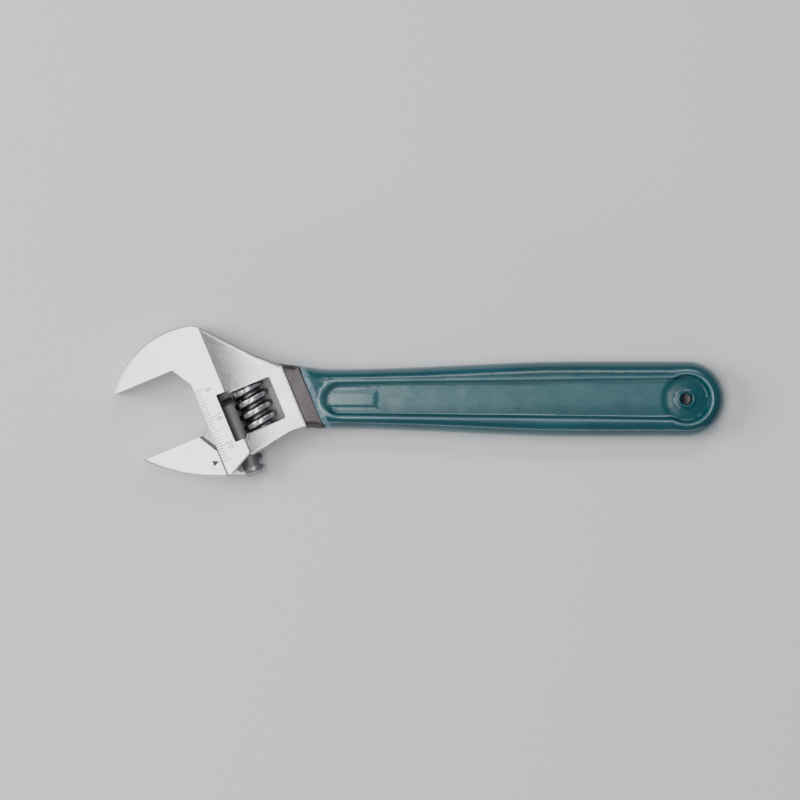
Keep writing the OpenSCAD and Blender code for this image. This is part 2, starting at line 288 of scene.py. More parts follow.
def relief(name, loop, height, place, spacing=0.8, rows=(), holes=(), lines=(), round_edges=True):
    """Closed solid over a loop, the same on both faces, with height(x, y) over its middle plane.

    rows are loops of points that the surface follows, lines are loops kept as
    edges, and holes are clockwise loops. With round_edges each edge is rounded
    by its loop's radius; otherwise height() gives the whole profile.
    """
    loops = [loop, *holes]
    fixed, edges, rings = [], [], []
    for ring in [*loops, *lines]:
        start = sum(len(f) for f in fixed)
        count = len(ring)
        fixed.append(ring[:, :2])
        edges += [(start + i, start + (i + 1) % count) for i in range(count)]
    if round_edges:
        for ring in loops:
            for turn in (25, 50, 75, 90):
                share = 1 - math.cos(math.radians(turn))
                rings.append(offset(ring, ring[:, 2] * share))
                away, _ = nearest(rings[-1], ring)
                rings[-1] = rings[-1][away >= 0.97 * ring[:, 2] * share]
    rings += [np.asarray(row)[:, :2] for row in rows]
    taken = np.concatenate([*fixed, *rings])
    grid = grid_points(loop, spacing)
    keep = inside(grid, loop)
    for ring in loops:
        away, where = nearest(grid, ring)
        keep &= away > (on_loop(ring[:, 2], where) if round_edges else 0) + 0.4 * spacing
    for ring in holes:
        keep &= ~inside(grid, ring)
    grid = grid[keep]
    close = np.zeros(len(grid), bool)
    for i in range(0, len(grid), 500):
        gap = grid[i : i + 500, None] - taken[None]
        close[i : i + 500] = (gap * gap).sum(2).min(1) < (0.55 * spacing) ** 2
    points = np.concatenate([taken, grid[~close]])
    flat, _, tris, *_ = delaunay_2d_cdt([Vector(p) for p in points], edges, [], 0, 1e-5)
    flat = np.array(flat)
    tris = np.array([t for t in tris if len(t) == 3])
    middle = flat[tris].mean(1)
    good = inside(middle, loop)
    for ring in holes:
        good &= ~inside(middle, ring)
    tris = tris[good]
    p, q, r = (flat[tris[:, k]] for k in range(3))
    area = (q[:, 0] - p[:, 0]) * (r[:, 1] - p[:, 1]) - (q[:, 1] - p[:, 1]) * (r[:, 0] - p[:, 0])
    tris = tris[np.abs(area) > 1e-9]
    area = area[np.abs(area) > 1e-9]
    tris[area < 0] = tris[area < 0][:, ::-1]
    used = np.unique(tris)
    number = -np.ones(len(flat), int)
    number[used] = np.arange(len(used))
    flat, tris = flat[used], number[tris]
    z = np.asarray(height(flat[:, 0], flat[:, 1]), float)
    if round_edges:
        for ring in loops:
            away, where = nearest(flat, ring)
            radius = on_loop(ring[:, 2], where)
            into = np.clip(away / np.maximum(radius, 1e-6), 0, 1)
            z = z - radius * (1 - np.sqrt(1 - (1 - into) ** 2))
    z = np.maximum(z, 0)
    sealed = z < 1e-4
    below = np.arange(len(flat)) + len(flat)
    below[sealed] = np.flatnonzero(sealed)
    verts = np.concatenate([np.column_stack([flat, z]), np.column_stack([flat, -z])])
    faces = [tuple(t) for t in tris.tolist()]
    faces += [(below[c], below[b], below[a]) for a, b, c in tris]
    seen = set()
    for a, b, c in tris.tolist():
        seen |= {(a, b), (b, c), (c, a)}
    for a, b in seen:
        if (b, a) not in seen:
            wall = [a, below[a], below[b], b]
            wall = [v for i, v in enumerate(wall) if v not in wall[:i]]
            if len(wall) >= 3:
                faces.append(tuple(int(v) for v in wall))
    faces = [tuple(int(v) for v in face) for face in faces]
    obj = to_object(name, verts, faces, place)
    drop_loose(obj)
    return obj


def level(z):
    """Height of a flat top, for relief()."""
    return lambda x, y: np.full_like(x, z)


def drop_loose(obj):
    """Removes the points that no face uses."""
    mesh = obj.data
    used = {v for polygon in mesh.polygons for v in polygon.vertices}
    if len(used) < len(mesh.vertices):
        order = sorted(used)
        number = {v: i for i, v in enumerate(order)}
        verts = [tuple(mesh.vertices[v].co) for v in order]
        faces = [tuple(number[v] for v in polygon.vertices) for polygon in mesh.polygons]
        mesh.clear_geometry()
        mesh.from_pydata(verts, [], faces)
        mesh.update()


def turned(name, profile, x, count=96):
    """Solid of revolution along the sliding direction at x, from (radius, y) points going down."""
    verts, faces = [], []
    for r, y in profile:
        for k in range(count):
            turn = 2 * math.pi * k / count
            verts.append((r * math.cos(turn), y, r * math.sin(turn)))
    for i in range(len(profile) - 1):
        for k in range(count):
            a, b = i * count + k, i * count + (k + 1) % count
            faces.append((a, b, b + count, a + count))
    last = (len(profile) - 1) * count
    faces.append(tuple(range(count))[::-1])
    faces.append(tuple(last + k for k in range(count)))
    return to_object(name, verts, faces, HEAD @ Matrix.Translation((x, 0, 0)))


def bar(name, x, top, r):
    """Plain round cutter along the sliding direction, out through the far side."""
    return turned(name, [(r, top), (r, CUT_END)], x, 64)


def prism(name, points, low, high, place):
    """Prism over an anticlockwise polygon in plan."""
    count = len(points)
    verts = [(p[0], p[1], low) for p in points] + [(p[0], p[1], high) for p in points]
    faces = [tuple(range(count))[::-1], tuple(range(count, 2 * count))]
    faces += [(i, (i + 1) % count, count + (i + 1) % count, count + i) for i in range(count)]
    return to_object(name, verts, faces, place)


def combine(obj, others, operation):
    """Boolean of obj with each of the others, which are used up."""
    for other in others:
        modifier = obj.modifiers.new("bool", "BOOLEAN")
        modifier.operation = operation
        modifier.solver = "MANIFOLD"
        modifier.object = other
        bpy.context.view_layer.update()
        graph = bpy.context.evaluated_depsgraph_get()
        made = bpy.data.meshes.new_from_object(obj.evaluated_get(graph))
        obj.modifiers.clear()
        old = obj.data
        obj.data = made
        made.name = obj.name
        bpy.data.meshes.remove(old)
        bpy.data.meshes.remove(other.data)
    return obj


def shade(obj, angle=28):
    """Smooth shading, with edges sharper than the angle kept."""
    mesh = obj.data
    mesh.shade_smooth()
    mesh.set_sharp_from_angle(angle=math.radians(angle))


def finish_piece(obj, body, materials, paint=None, replaced=(), angle=28):
    """Scales a piece to metres, paints it, and puts it on its body."""
    obj.data.transform(Matrix.Scale(MM, 4))
    obj.data.materials.clear()
    for material in materials:
        obj.data.materials.append(material)
    if paint is not None:
        count = len(obj.data.polygons)
        centres = np.empty(count * 3)
        normals = np.empty(count * 3)
        obj.data.polygons.foreach_get("center", centres)
        obj.data.polygons.foreach_get("normal", normals)
        centres = centres.reshape(-1, 3) / MM
        back = np.array(HEAD.inverted())
        centres = centres @ back[:3, :3].T + back[:3, 3]
        normals = normals.reshape(-1, 3) @ back[:3, :3].T
        obj.data.polygons.foreach_set("material_index", paint(centres, normals).astype(np.int32))
    shade(obj, angle)
    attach(obj, body)
    if replaced:
        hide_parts(*replaced)
    return obj


# ---- materials
class Nodes:
    """Short calls for building one node material."""

    def __init__(self, name):
        self.material = bpy.data.materials.new(name)
        self.material.use_nodes = True
        self.tree = self.material.node_tree
        self.shader = self.tree.nodes["Principled BSDF"]
        self.coords = self.add("ShaderNodeTexCoord").outputs["Object"]

    def add(self, kind, inputs=None, **settings):
        node = self.tree.nodes.new(kind)
        for key, value in settings.items():
            setattr(node, key, value)
        for key, value in (inputs or {}).items():
            if isinstance(value, bpy.types.NodeSocket):
                self.tree.links.new(value, node.inputs[key])
            else:
                node.inputs[key].default_value = value
        return node

    def stretched(self, stretch, turn=0.0):
        """Object coordinates in millimetres, turned about Z and scaled per axis."""
        turned_coords = self.add(
            "ShaderNodeMapping",
            {"Vector": self.coords, "Rotation": (0, 0, -turn), "Scale": (1 / MM,) * 3},
        )
        return self.add(
            "ShaderNodeMapping",
            {"Vector": turned_coords.outputs[0], "Scale": stretch},
        ).outputs[0]

    def noise(self, coords, scale, detail=3.0, roughness=0.55):
        return self.add(
            "ShaderNodeTexNoise",
            {"Vector": coords, "Scale": scale, "Detail": detail, "Roughness": roughness},
        ).outputs["Fac"]

    def ramp(self, value, low, high, to_low=0.0, to_high=1.0):
        return self.add(
            "ShaderNodeMapRange",
            {0: value, 1: low, 2: high, 3: to_low, 4: to_high},
        ).outputs[0]

    def math(self, kind, a, b=0.0):
        return self.add("ShaderNodeMath", {0: a, 1: b}, operation=kind).outputs[0]

    def mix(self, share, a, b):
        return self.add("ShaderNodeMix", {0: share, 6: a, 7: b}, data_type="RGBA").outputs[2]

    def zone(self, name):
        """One of the float attributes that build_grip() writes."""
        return self.add("ShaderNodeAttribute", attribute_name=name).outputs["Fac"]

    def set(self, **inputs):
        for key, value in inputs.items():
            socket = self.shader.inputs[key.replace("_", " ")]
            if isinstance(value, bpy.types.NodeSocket):
                self.tree.links.new(value, socket)
            else:
                socket.default_value = value

    def bump(self, height, distance):
        return self.add("ShaderNodeBump", {"Height": height, "Distance": distance}).outputs[0]


def rgb(r, g, b):
    """A colour with its alpha."""
    return (r, g, b, 1.0)


def steel(name, light, dark, rough, grain, bump, grime=0.0, turn=TILT):
    """Satin steel: grain stretched along one direction, mottled plating and faint stains."""
    n = Nodes(name)
    fine = n.noise(n.stretched(grain, turn), 1.0, 4.0, 0.6)
    broad = n.noise(n.stretched((1, 1, 1)), 0.12, 3.0)
    specks = n.noise(n.stretched((1, 1, 1)), 1.7, 5.0, 0.7)
    mottle = n.math("ADD", n.math("MULTIPLY", fine, 0.55), n.math("MULTIPLY", broad, 0.45))
    colour = n.mix(n.ramp(mottle, 0.35, 0.65), rgb(*dark), rgb(*light))
    if grime:
        colour = n.mix(n.ramp(specks, 0.56, 0.75, 0.0, grime), colour, rgb(0.16, 0.14, 0.13))
    uneven = n.math("ADD", n.math("MULTIPLY", fine, 0.6), n.math("MULTIPLY", specks, 0.4))
    n.set(
        Base_Color=colour,
        Metallic=1.0,
        Roughness=n.ramp(uneven, 0.3, 0.7, rough * 0.8, rough * 1.25),
        Normal=n.bump(fine, bump * MM),
    )
    return n.material


def vinyl():
    """Dipped coat: glossy and slightly rippled. The hollow's floor is paler, partly a thinner coat over the web
    and partly a painted reflection of the overhead light, and darker towards its lower side as painted shade; the
    rim lines carry a painted highlight and the band behind the front edge a milky painted highlight.
    """
    n = Nodes("vinyl")
    web, dish, front, rim_painted_highlight = (n.zone(name) for name in ("web", "dish", "front", "rim_painted_highlight"))
    cloud = n.noise(n.stretched((0.35, 1, 1)), 0.11, 4.0)
    streak = n.noise(n.stretched((0.12, 1.2, 1)), 0.5, 3.0)
    ripple = n.noise(n.stretched((0.5, 1, 1)), 0.22, 2.0)
    fine = n.noise(n.stretched((1, 1, 1)), 3.0, 3.0)
    rail = n.mix(n.ramp(cloud, 0.35, 0.65), rgb(0.001, 0.052, 0.066), rgb(0.002, 0.074, 0.092))
    # floor tone: partly the thinner coat over the web, partly a painted reflection of the overhead light
    floor = n.mix(n.ramp(cloud, 0.3, 0.7), rgb(0.030, 0.110, 0.125), rgb(0.045, 0.135, 0.150))
    floor = n.mix(n.ramp(streak, 0.45, 0.75, 0.0, 0.3), floor, rgb(0.07, 0.17, 0.185))
    colour = n.mix(web, rail, floor)
    colour = n.mix(dish, colour, rgb(0.001, 0.066, 0.082))
    # painted highlight: paler lines along the hollow's rim and round the dish
    rim_highlight_share = n.math("MULTIPLY", rim_painted_highlight, n.ramp(streak, 0.3, 0.7, 0.45, 0.9))
    colour = n.mix(rim_highlight_share, colour, rgb(0.17, 0.29, 0.33))
    # painted highlight: milky band behind the coat's front edge
    front_highlight_noise = n.noise(n.stretched((1, 1, 1)), 0.9, 4.0, 0.65)
    painted_light_band = n.math("MULTIPLY", front, n.ramp(front_highlight_noise, 0.38, 0.62, 0.15, 0.65))
    colour = n.mix(painted_light_band, colour, rgb(0.30, 0.42, 0.50))
    n.set(
        Base_Color=colour,
        Metallic=0.0,
        Roughness=n.ramp(fine, 0.3, 0.7, 0.24, 0.34),
        Normal=n.bump(n.math("ADD", ripple, n.math("MULTIPLY", fine, 0.02)), 0.22 * MM),
    )
    n.set(IOR=1.5, Coat_Weight=n.ramp(dish, 0.0, 1.0, 0.4, 0.1), Coat_Roughness=0.08, Coat_IOR=1.5)
    return n.material


def flat_paint(name, colour, rough=0.6):
    """Ink or etching, mottled a little so that it doesn't read as one flat tone."""
    n = Nodes(name)
    speck = n.noise(n.stretched((1, 1, 1)), 4.0, 3.0)
    lighter = rgb(*(min(1.0, c * 1.5 + 0.01) for c in colour[:3]))
    n.set(
        Base_Color=n.mix(n.ramp(speck, 0.4, 0.7), colour, lighter),
        Roughness=n.ramp(speck, 0.3, 0.7, rough * 0.85, rough * 1.1),
        Normal=n.bump(speck, 0.01 * MM),
    )
    return n.material


GROUND = steel("steel_ground", (0.80, 0.775, 0.785), (0.70, 0.68, 0.69), 0.34, (9, 0.35, 9), 0.003)
# satin shoulder finish, its base darkened as painted shade for the dark reflection it shows
SATIN_PAINTED_SHADE = steel("steel_satin_painted_shade", (0.44, 0.420, 0.431), (0.29, 0.276, 0.284), 0.20, (0.5, 6, 6), 0.005)
FORGED = steel(
    "steel_forged", (0.13, 0.118, 0.120), (0.07, 0.062, 0.064), 0.44, (0.8, 2, 2), 0.012, 0.5, turn=0.0
)
# machined steel inside the bore, slot and pin hole, darkened as painted shade
MACHINED_PAINTED_SHADE = steel("steel_machined_painted_shade", (0.30, 0.28, 0.28), (0.19, 0.18, 0.18), 0.42, (5, 1, 1), 0.008, 0.5)
# rack painted dark as the shade it gets inside the window
RACK_PAINTED_SHADE = steel("steel_rack_painted_shade", (0.17, 0.165, 0.165), (0.10, 0.095, 0.095), 0.50, (5, 1, 5), 0.008, 0.4)
# window walls painted light so the inside of the window reads bright
WINDOW_PAINTED_LIGHT = steel("steel_window_painted_light", (0.74, 0.72, 0.73), (0.58, 0.56, 0.57), 0.40, (2, 2, 8), 0.006, 0.3)
# web steel, darkened as painted shade for its recessed place; also the lit lower end of the rack
WEB_STEEL = steel("steel_web", (0.40, 0.385, 0.39), (0.24, 0.23, 0.235), 0.36, (8, 0.5, 4), 0.006, 0.2)
WORM_STEEL = steel(
    "steel_worm", (0.72, 0.70, 0.71), (0.50, 0.48, 0.49), 0.24, (0.7, 8, 0.7), 0.005, 0.25
)
# painted shade: darker steel in the worm's grooves and bore
WORM_GROOVE_SHADE = steel(
    "steel_worm_groove_shade", (0.28, 0.26, 0.27), (0.16, 0.15, 0.16), 0.36, (0.7, 8, 0.7), 0.006, 0.5
)
PIN_STEEL = steel("steel_pin", (0.68, 0.64, 0.64), (0.48, 0.46, 0.46), 0.30, (1, 8, 1), 0.004, 0.3)
WIRE_STEEL = steel("steel_wire", (0.50, 0.50, 0.51), (0.36, 0.36, 0.37), 0.28, (4, 4, 4), 0.004, 0.3)
ETCH = flat_paint("scale_etch", rgb(0.035, 0.033, 0.035), 0.6)
INK = flat_paint("pointer_ink", rgb(0.012, 0.012, 0.014), 0.45)
VINYL = vinyl()


# ---- body
def arc_top(x):
    """Place of the fixed jaw's outer arc at x."""
    return ARC_Y + math.sqrt(ARC_R**2 - (x - ARC_X) ** 2)


def plate_solid():
    """Fixed jaw and face plate."""
    tip_turn = math.atan2(0 - ARC_Y, -REACH - ARC_X)
    crown_turn = math.atan2(arc_top(CROWN_X) - ARC_Y, CROWN_X - ARC_X)
    arc_points = arc(ARC_X, ARC_Y, ARC_R, crown_turn, tip_turn, 60)[1:-1]
    corners = [
        (-REACH, 0, 0.5, 0.16),
        (-FLAT, 0, 0.5, 0.16),
        (0, -DROP, 0.8, 0.18),
        (0, -THROAT, 0.3, 0.3),
        (1.5, -THROAT - 0.3, 0.6, 0.5),
        (PLATE_W, -THROAT + 3.8, 0.3, 0.22),
        (PLATE_W, RACK_WIN_BOTTOM, 0.15, 0.12),
        (RACK_WIN_X, RACK_WIN_BOTTOM, 0.3, 0.16),
        (RACK_WIN_X, RACK_WIN_TOP, 0.3, 0.12),
        (PLATE_W, RACK_WIN_TOP, 0.15, 0.22),
        (PLATE_W, PLATE_TOP, 0.8, 0.4),
        (CROWN_X, arc_top(CROWN_X), 0, 0.5),
        *((x, y, 0, 0.5) for x, y in arc_points),
    ]
    return relief("plate", outline(corners), level(HALF_T - SKIN), HEAD)


def shoulder_height(x, y):
    """The shoulder rises from the plate to the neck and is level across."""
    share = np.clip((x - SHOULDER_START) / (SHOULDER_END - SHOULDER_START), 0, 1)
    return SHOULDER_LOW + (SHOULDER_HIGH - SHOULDER_LOW) * (1 - (1 - share) ** 2)


def shoulder_solid():
    """Ground shoulder behind the plate, notched by the worm's window."""
    corners = [
        (SHOULDER_START, -36.4, 0, 0.5),
        (PLATE_W, -37.2, 2, 0.8),
        (16, -36.2, 12, 0.8),
        (25, -34.8, 10, 0.8),
        (SHOULDER_END, -35.2, 0.5, 0.3),
        (SHOULDER_END, -12.6, 0.8, 1.2),
        (28.4, -10, 4, 1.1),
        (22.4, -4.4, 14, 0.8),
        (PLATE_W, PLATE_TOP, 0, 0.7),
        (SHOULDER_START, PLATE_TOP, 0, 0.3),
        (SHOULDER_START, RACK_WIN_TOP, 0, 0.2),
        (9.9, RACK_WIN_TOP, 0.3, 0.2),
        (10.7, WIN_TOP, 0.3, 0.22),
        (WIN_END, WIN_TOP, 0.5, 0.22),
        (WIN_END, WIN_BOTTOM, 0.5, 0.22),
        (11.4, WIN_BOTTOM, 0.3, 0.2),
        (10.5, RACK_WIN_BOTTOM, 0.3, 0.2),
        (SHOULDER_START, RACK_WIN_BOTTOM, 0, 0.3),
    ]
    return relief("shoulder", outline(corners), shoulder_height, HEAD)


def half_width(x):
    """Half the handle's width at a place along it."""
    x = np.asarray(x, float)
    taper = smooth((x - WAIST_X) / (TAPER_END - WAIST_X))
    return WAIST_W / 2 + (END_W - WAIST_W) / 2 * taper + FLARE * np.maximum(0, WAIST_X - x) ** 2


def front_x(side, at):
    """Where the line at a distance behind the coat's front edge meets a side of the handle."""
    x = -130.0
    for _ in range(40):
        x -= (front_distance(x, side * half_width(x)) - at) / HOLE_TO_HEAD.inverted()[0][0]
    return float(x)


def handle_loop(inset, front, step=0.8):
    """The handle's outline from a line across its front, drawn in by an inset."""
    lower = front_x(-1, front)
    upper = front_x(1, front)
    xs = np.linspace(lower, END_X, 60)[:-1]
    points = [(x, -(half_width(x) - inset)) for x in xs]
    points += arc(END_X, 0, END_W / 2 - inset, -math.pi / 2, math.pi / 2, 48)
    xs = np.linspace(END_X, upper, 60)[1:]
    points += [(x, half_width(x) - inset) for x in xs]
    return outline(plain(points), step)


def rim_loop(grow=0.0, step=0.7):
    """The rim of the hollow between the rails, with the dish at its end."""
    left, right, dish = PANEL_R + grow, PANEL_END_R + grow, DISH_R + grow
    meet = right - (right - left) * 4.5 / -PANEL_X
    turn = math.asin(meet / dish)
    corners = [(PANEL_X, -left, 0, 1)]
    corners += [(-dish * math.cos(turn), -meet, 1.5, 1)]
    corners += plain(arc(0, 0, dish, -math.pi + turn, math.pi - turn, 60)[1:-1])
    corners += [(-dish * math.cos(turn), meet, 1.5, 1)]
    corners += plain(arc(PANEL_X, 0, left, math.pi / 2, 1.5 * math.pi, 24)[:-1])
    return outline(corners, step)


def wall_width(x):
    """Width of the hollow's sloping wall, which is wider round its front end."""
    return WALL_W + WALL_MORE * smooth((PANEL_X + 1 - x) / WALL_RUN)


def floor_height(x, y):
    """The hollow's floor: a shallow trough, a raised pad, the dish and its lip."""
    rho = np.hypot(x, y)
    trough = FLOOR_Z + 0.25 * (y / PANEL_END_R) ** 2
    pad = PAD_H * smooth((PAD_Y - np.abs(y)) / PAD_SOFT + 0.5)
    pad = pad * smooth((x - PAD_X0) / PAD_SOFT + 0.5) * smooth((PAD_X1 - x) / PAD_SOFT + 0.5)
    cone = FLOOR_Z - 0.25 + 0.5 * smooth((DISH_R - rho) / (DISH_R - LIP_R))
    lip = LIP_H * smooth((LIP_R + 0.35 - rho) / 0.6)
    dish = cone + (trough - cone) * smooth((rho - DISH_R + DISH_WALL) / DISH_WALL)
    return np.where(rho < DISH_R, dish + lip, trough + pad)


def ridge_height(x, y):
    """Height of the rails, which sinks to the bare neck at the coat's front edge."""
    return FRONT_Z + (HALF_T - FRONT_Z) * smooth(front_distance(x, y) / FRONT_RUN)


def side_distance(x, y, inset):
    """Distance in from the handle's side or round end."""
    beside = half_width(x) - np.abs(y)
    end = END_W / 2 - np.hypot(x - END_X, y)
    return np.maximum(np.where(x < END_X, beside, end) - inset, 0)


def handle_solid(name, inset, front, spacing):
    """The handle drawn in by an inset: rails rounded up to the rim, and the hollow between them."""
    loop = handle_loop(inset, front)
    rim = rim_loop(inset)
    hole_r = hole_radius(inset)
    hole = outline(plain(arc(0, 0, hole_r, 2 * math.pi, 0, 49)[:-1]))

    def height(x, y):
        points = np.column_stack([x, y])
        into, _ = nearest(points, rim)
        in_panel = inside(points, rim)
        top = ridge_height(x, y) - inset
        out = side_distance(x, y, inset)
        width = np.minimum(out + into, RAIL_W)
        share = np.clip(out / np.maximum(width, 1e-6), 0, 1)
        rail = top * np.sqrt(1 - (1 - share) ** 2)
        edge = np.clip((front_distance(x, y) - front) / FRONT_EDGE, 0, 1)
        rail = rail - FRONT_EDGE * (1 - np.sqrt(1 - (1 - edge) ** 2))
        down = smooth(into / wall_width(x))
        hollow = top + (floor_height(x, y) - inset - top) * down
        to_hole = (np.hypot(x, y) - hole_r) / HOLE_EDGE
        hollow = hollow - HOLE_EDGE * np.clip(1 - to_hole, 0, 1) ** 2
        return np.where(in_panel, hollow, np.maximum(rail, 0))

    to_rim, _ = nearest(loop[:, :2], rim)
    width = np.minimum(to_rim, RAIL_W)
    beside = front_distance(loop[:, 0], loop[:, 1]) > front + 0.3
    rows = [
        offset(loop, width * (1 - math.cos(math.radians(turn))))[beside]
        for turn in (12, 24, 36, 48, 60, 72, 84)
    ]
    rows.append(offset(loop, width)[beside & (to_rim > RAIL_W)])
    rows += [offset(loop, np.full(len(loop), into))[~beside] for into in (0.1, 0.25, FRONT_EDGE)]
    wall = wall_width(rim[:, 0])
    rows += [offset(rim, share * wall) for share in (0.12, 0.28, 0.45, 0.62, 0.8, 1.0)]
    for out in (0.2, 0.45, 0.8, 1.1, 1.5):
        rows.append(np.array(arc(0, 0, hole_r + out, 0, 2 * math.pi, 60)[:-1]))
    for out in (-PAD_SOFT / 2, 0, PAD_SOFT / 2):
        rows.append(
            outline(
                [
                    (PAD_X0 - out, -PAD_Y - out, 0.5, 1),
                    (PAD_X1 + out, -PAD_Y - out, 0.5, 1),
                    (PAD_X1 + out, PAD_Y + out, 0.5, 1),
                    (PAD_X0 - out, PAD_Y + out, 0.5, 1),
                ]
            )
        )
    return relief(
        name, loop, height, HOLE, spacing, rows=rows, holes=[hole], lines=[rim], round_edges=False
    )


def hole_radius(inset):
    """Radius of the hanging hole in the coat, or in the steel under it."""
    return HOLE_R if inset == 0 else HOLE_R + COAT + 0.6


def drawn_in(x, depth, start, run):
    """How far the neck's side draws in, from a start towards the head."""
    return depth * smooth((start - x) / run)


def neck_solid():
    """Bare forged neck, from inside the shoulder to the coat's front edge."""
    start, end, edge = -10.0, 0.05, 2.6
    xs = np.linspace(front_x(-1, start + 1.5), front_x(-1, end), 20)
    insets = 0.3 + drawn_in(xs, 0.7, -123, 5) + drawn_in(xs, 0.5, -129, 4)
    lower = [(x, inset - half_width(x), 0, edge) for x, inset in zip(xs, insets)]
    xs = np.linspace(front_x(1, end), front_x(1, start), 20)
    insets = 0.3 + drawn_in(xs, 0.7, -132, 6) + drawn_in(xs, 0.7, -138, 5)
    upper = [(x, half_width(x) - inset, 0, edge) for x, inset in zip(xs, insets)]
    lower[-1] = (*lower[-1][:3], 0.3)
    upper[-1] = (*upper[-1][:3], 0.3)
    return relief("neck", outline(lower + upper), level(NECK_Z), HOLE)


def web_way():
    """Cutter for the slot that the movable jaw's web runs through."""
    play = 0.3
    top = FILLET_Y + TRAVEL + play
    points = [
        (RACK_X, CUT_END),
        (RACK_X, RACK_TOP + TRAVEL - RACK_NOSE + BORE_END),
        (JAW_BACK, top),
        (FILLET_X + FILLET_R - play, top),
        *arc(FILLET_X, FILLET_Y + TRAVEL, FILLET_R - play, 0, -math.pi / 2, 20),
        (WEB_X, top - FILLET_R),
        (WEB_X, CUT_END),
    ]
    return prism("web_way", points, -WEB_HALF - SLIDE_PLAY, WEB_HALF + SLIDE_PLAY, HEAD)


def facing_axis(axis_x, r, centres, normals):
    """Whether each face is on a bore's wall, which looks towards the bore's axis."""
    x, z = centres[:, 0] - axis_x, centres[:, 2]
    rho = np.maximum(np.hypot(x, z), 1e-6)
    inward = -(normals[:, 0] * x + normals[:, 2] * z) / rho
    return (rho < r) & (inward > 0.3)


def paint_body(centres, normals):
    """0 ground face, 1 satin shoulder darkened as painted shade, 2 forged neck, 3 machined inside darkened as
    painted shade, 4 window walls lightened as painted light.
    """
    x, y, z = centres.T
    upright = np.abs(normals[:, 2])
    kind = np.where(np.abs(z) > HALF_T - GROUND_DEPTH, 0, 1)
    kind = np.where((x < PLATE_W) & (upright < 0.4), 0, kind)
    neck = (x > SHOULDER_END - 0.9) & (np.abs(z) < NECK_Z - 0.2)
    kind = np.where((x > SHOULDER_END + 0.02) | neck, 2, kind)
    in_window = (x > RACK_WIN_X - 0.02) & (x < WIN_END + 0.3)
    in_window &= (y < RACK_WIN_TOP + 0.2) & (y > RACK_WIN_BOTTOM - 0.2)
    kind = np.where(in_window & (upright < 0.3), 4, kind)
    in_bore = facing_axis(RACK_X, RACK_R + 0.3, centres, normals)
    in_bore &= y < RACK_TOP + TRAVEL + BORE_END + 0.1
    in_slot = (np.abs(z) < WEB_HALF + 0.2) & (x > 0.01) & (x < RACK_X)
    in_slot &= (y > -THROAT + 0.05) & (y < RACK_TOP + TRAVEL - RACK_NOSE + 1)
    in_hole = facing_axis(WORM_X, PIN_HEAD_R + 0.1, centres, normals) & (y < PIN_WAY_TOP + 0.1)
    return np.where(in_bore | in_slot | in_hole, 3, kind)


def build_body():
    plate = plate_solid()
    core = handle_solid("core", COAT, -3.0, 1.6)
    body = combine(plate, [shoulder_solid(), neck_solid(), core], "UNION")
    body.name = "wrench_body"
    body.data.name = "wrench_body"
    bore_end, bore_r = RACK_TOP + TRAVEL + BORE_END, RACK_R + SLIDE_PLAY
    profile = [(bore_r - RACK_NOSE, bore_end), (bore_r, bore_end - RACK_NOSE), (bore_r, CUT_END)]
    bore = turned("bore", profile, RACK_X)
    pin_way = bar("pin_way", WORM_X, PIN_WAY_TOP, PIN_R + 0.02)
    seat = bar("seat", WORM_X, PIN_HEAD_TOP, PIN_HEAD_R + 0.05)
    combine(body, [bore, web_way(), pin_way, seat], "DIFFERENCE")
    # the satin, machined and window looks carry painted shade and painted light
    looks = [GROUND, SATIN_PAINTED_SHADE, FORGED, MACHINED_PAINTED_SHADE, WINDOW_PAINTED_LIGHT]
    return finish_piece(body, "wrench_body", looks, paint_body, ["body"])


def build_grip():
    grip = handle_solid("vinyl_grip", 0.0, 0.0, 0.9)
    combine(grip, [handle_solid("core", COAT, -3.0, 1.6), neck_solid()], "DIFFERENCE")
    finish_piece(grip, "wrench_body", [VINYL], None, ["grip"], angle=50)
    coords = np.empty(len(grip.data.vertices) * 3)
    grip.data.vertices.foreach_get("co", coords)
    coords = coords.reshape(-1, 3) / MM - np.array(HOLE.translation)
    x, y = coords[:, 0], coords[:, 1]
    points = coords[:, :2]
    rim = rim_loop()
    into, _ = nearest(points, rim)
    signed = np.where(inside(points, rim), into, -into)
    rho = np.hypot(x, y)
    # painted shade: the hollow's floor is darker towards its lower side
    thin_web_and_lower_shade = 1 - 0.7 * smooth((-y - 0.5) / 4)
    zones = {
        # web: paler floor, partly thinner coat and partly painted reflection, darkened towards the lower side as
        # painted shade
        "web": smooth((signed + 0.3) / 1.4) * (1 - smooth((DISH_R + 0.4 - rho) / 1.6)) * thin_web_and_lower_shade,
        "dish": smooth((DISH_R + 0.3 - rho) / 1.2),
        # painted highlight behind the coat's front edge
        "front": smooth((2.4 - front_distance(x, y)) / 1.1),
        # painted highlight along the rim of the hollow and the dish
        "rim_painted_highlight": smooth(1 - np.abs(signed - 0.1) / 0.65),
    }
    for name, values in zones.items():
        attribute = grip.data.attributes.new(name, "FLOAT", "POINT")
        attribute.data.foreach_set("value", values.astype(np.float32))
    return grip


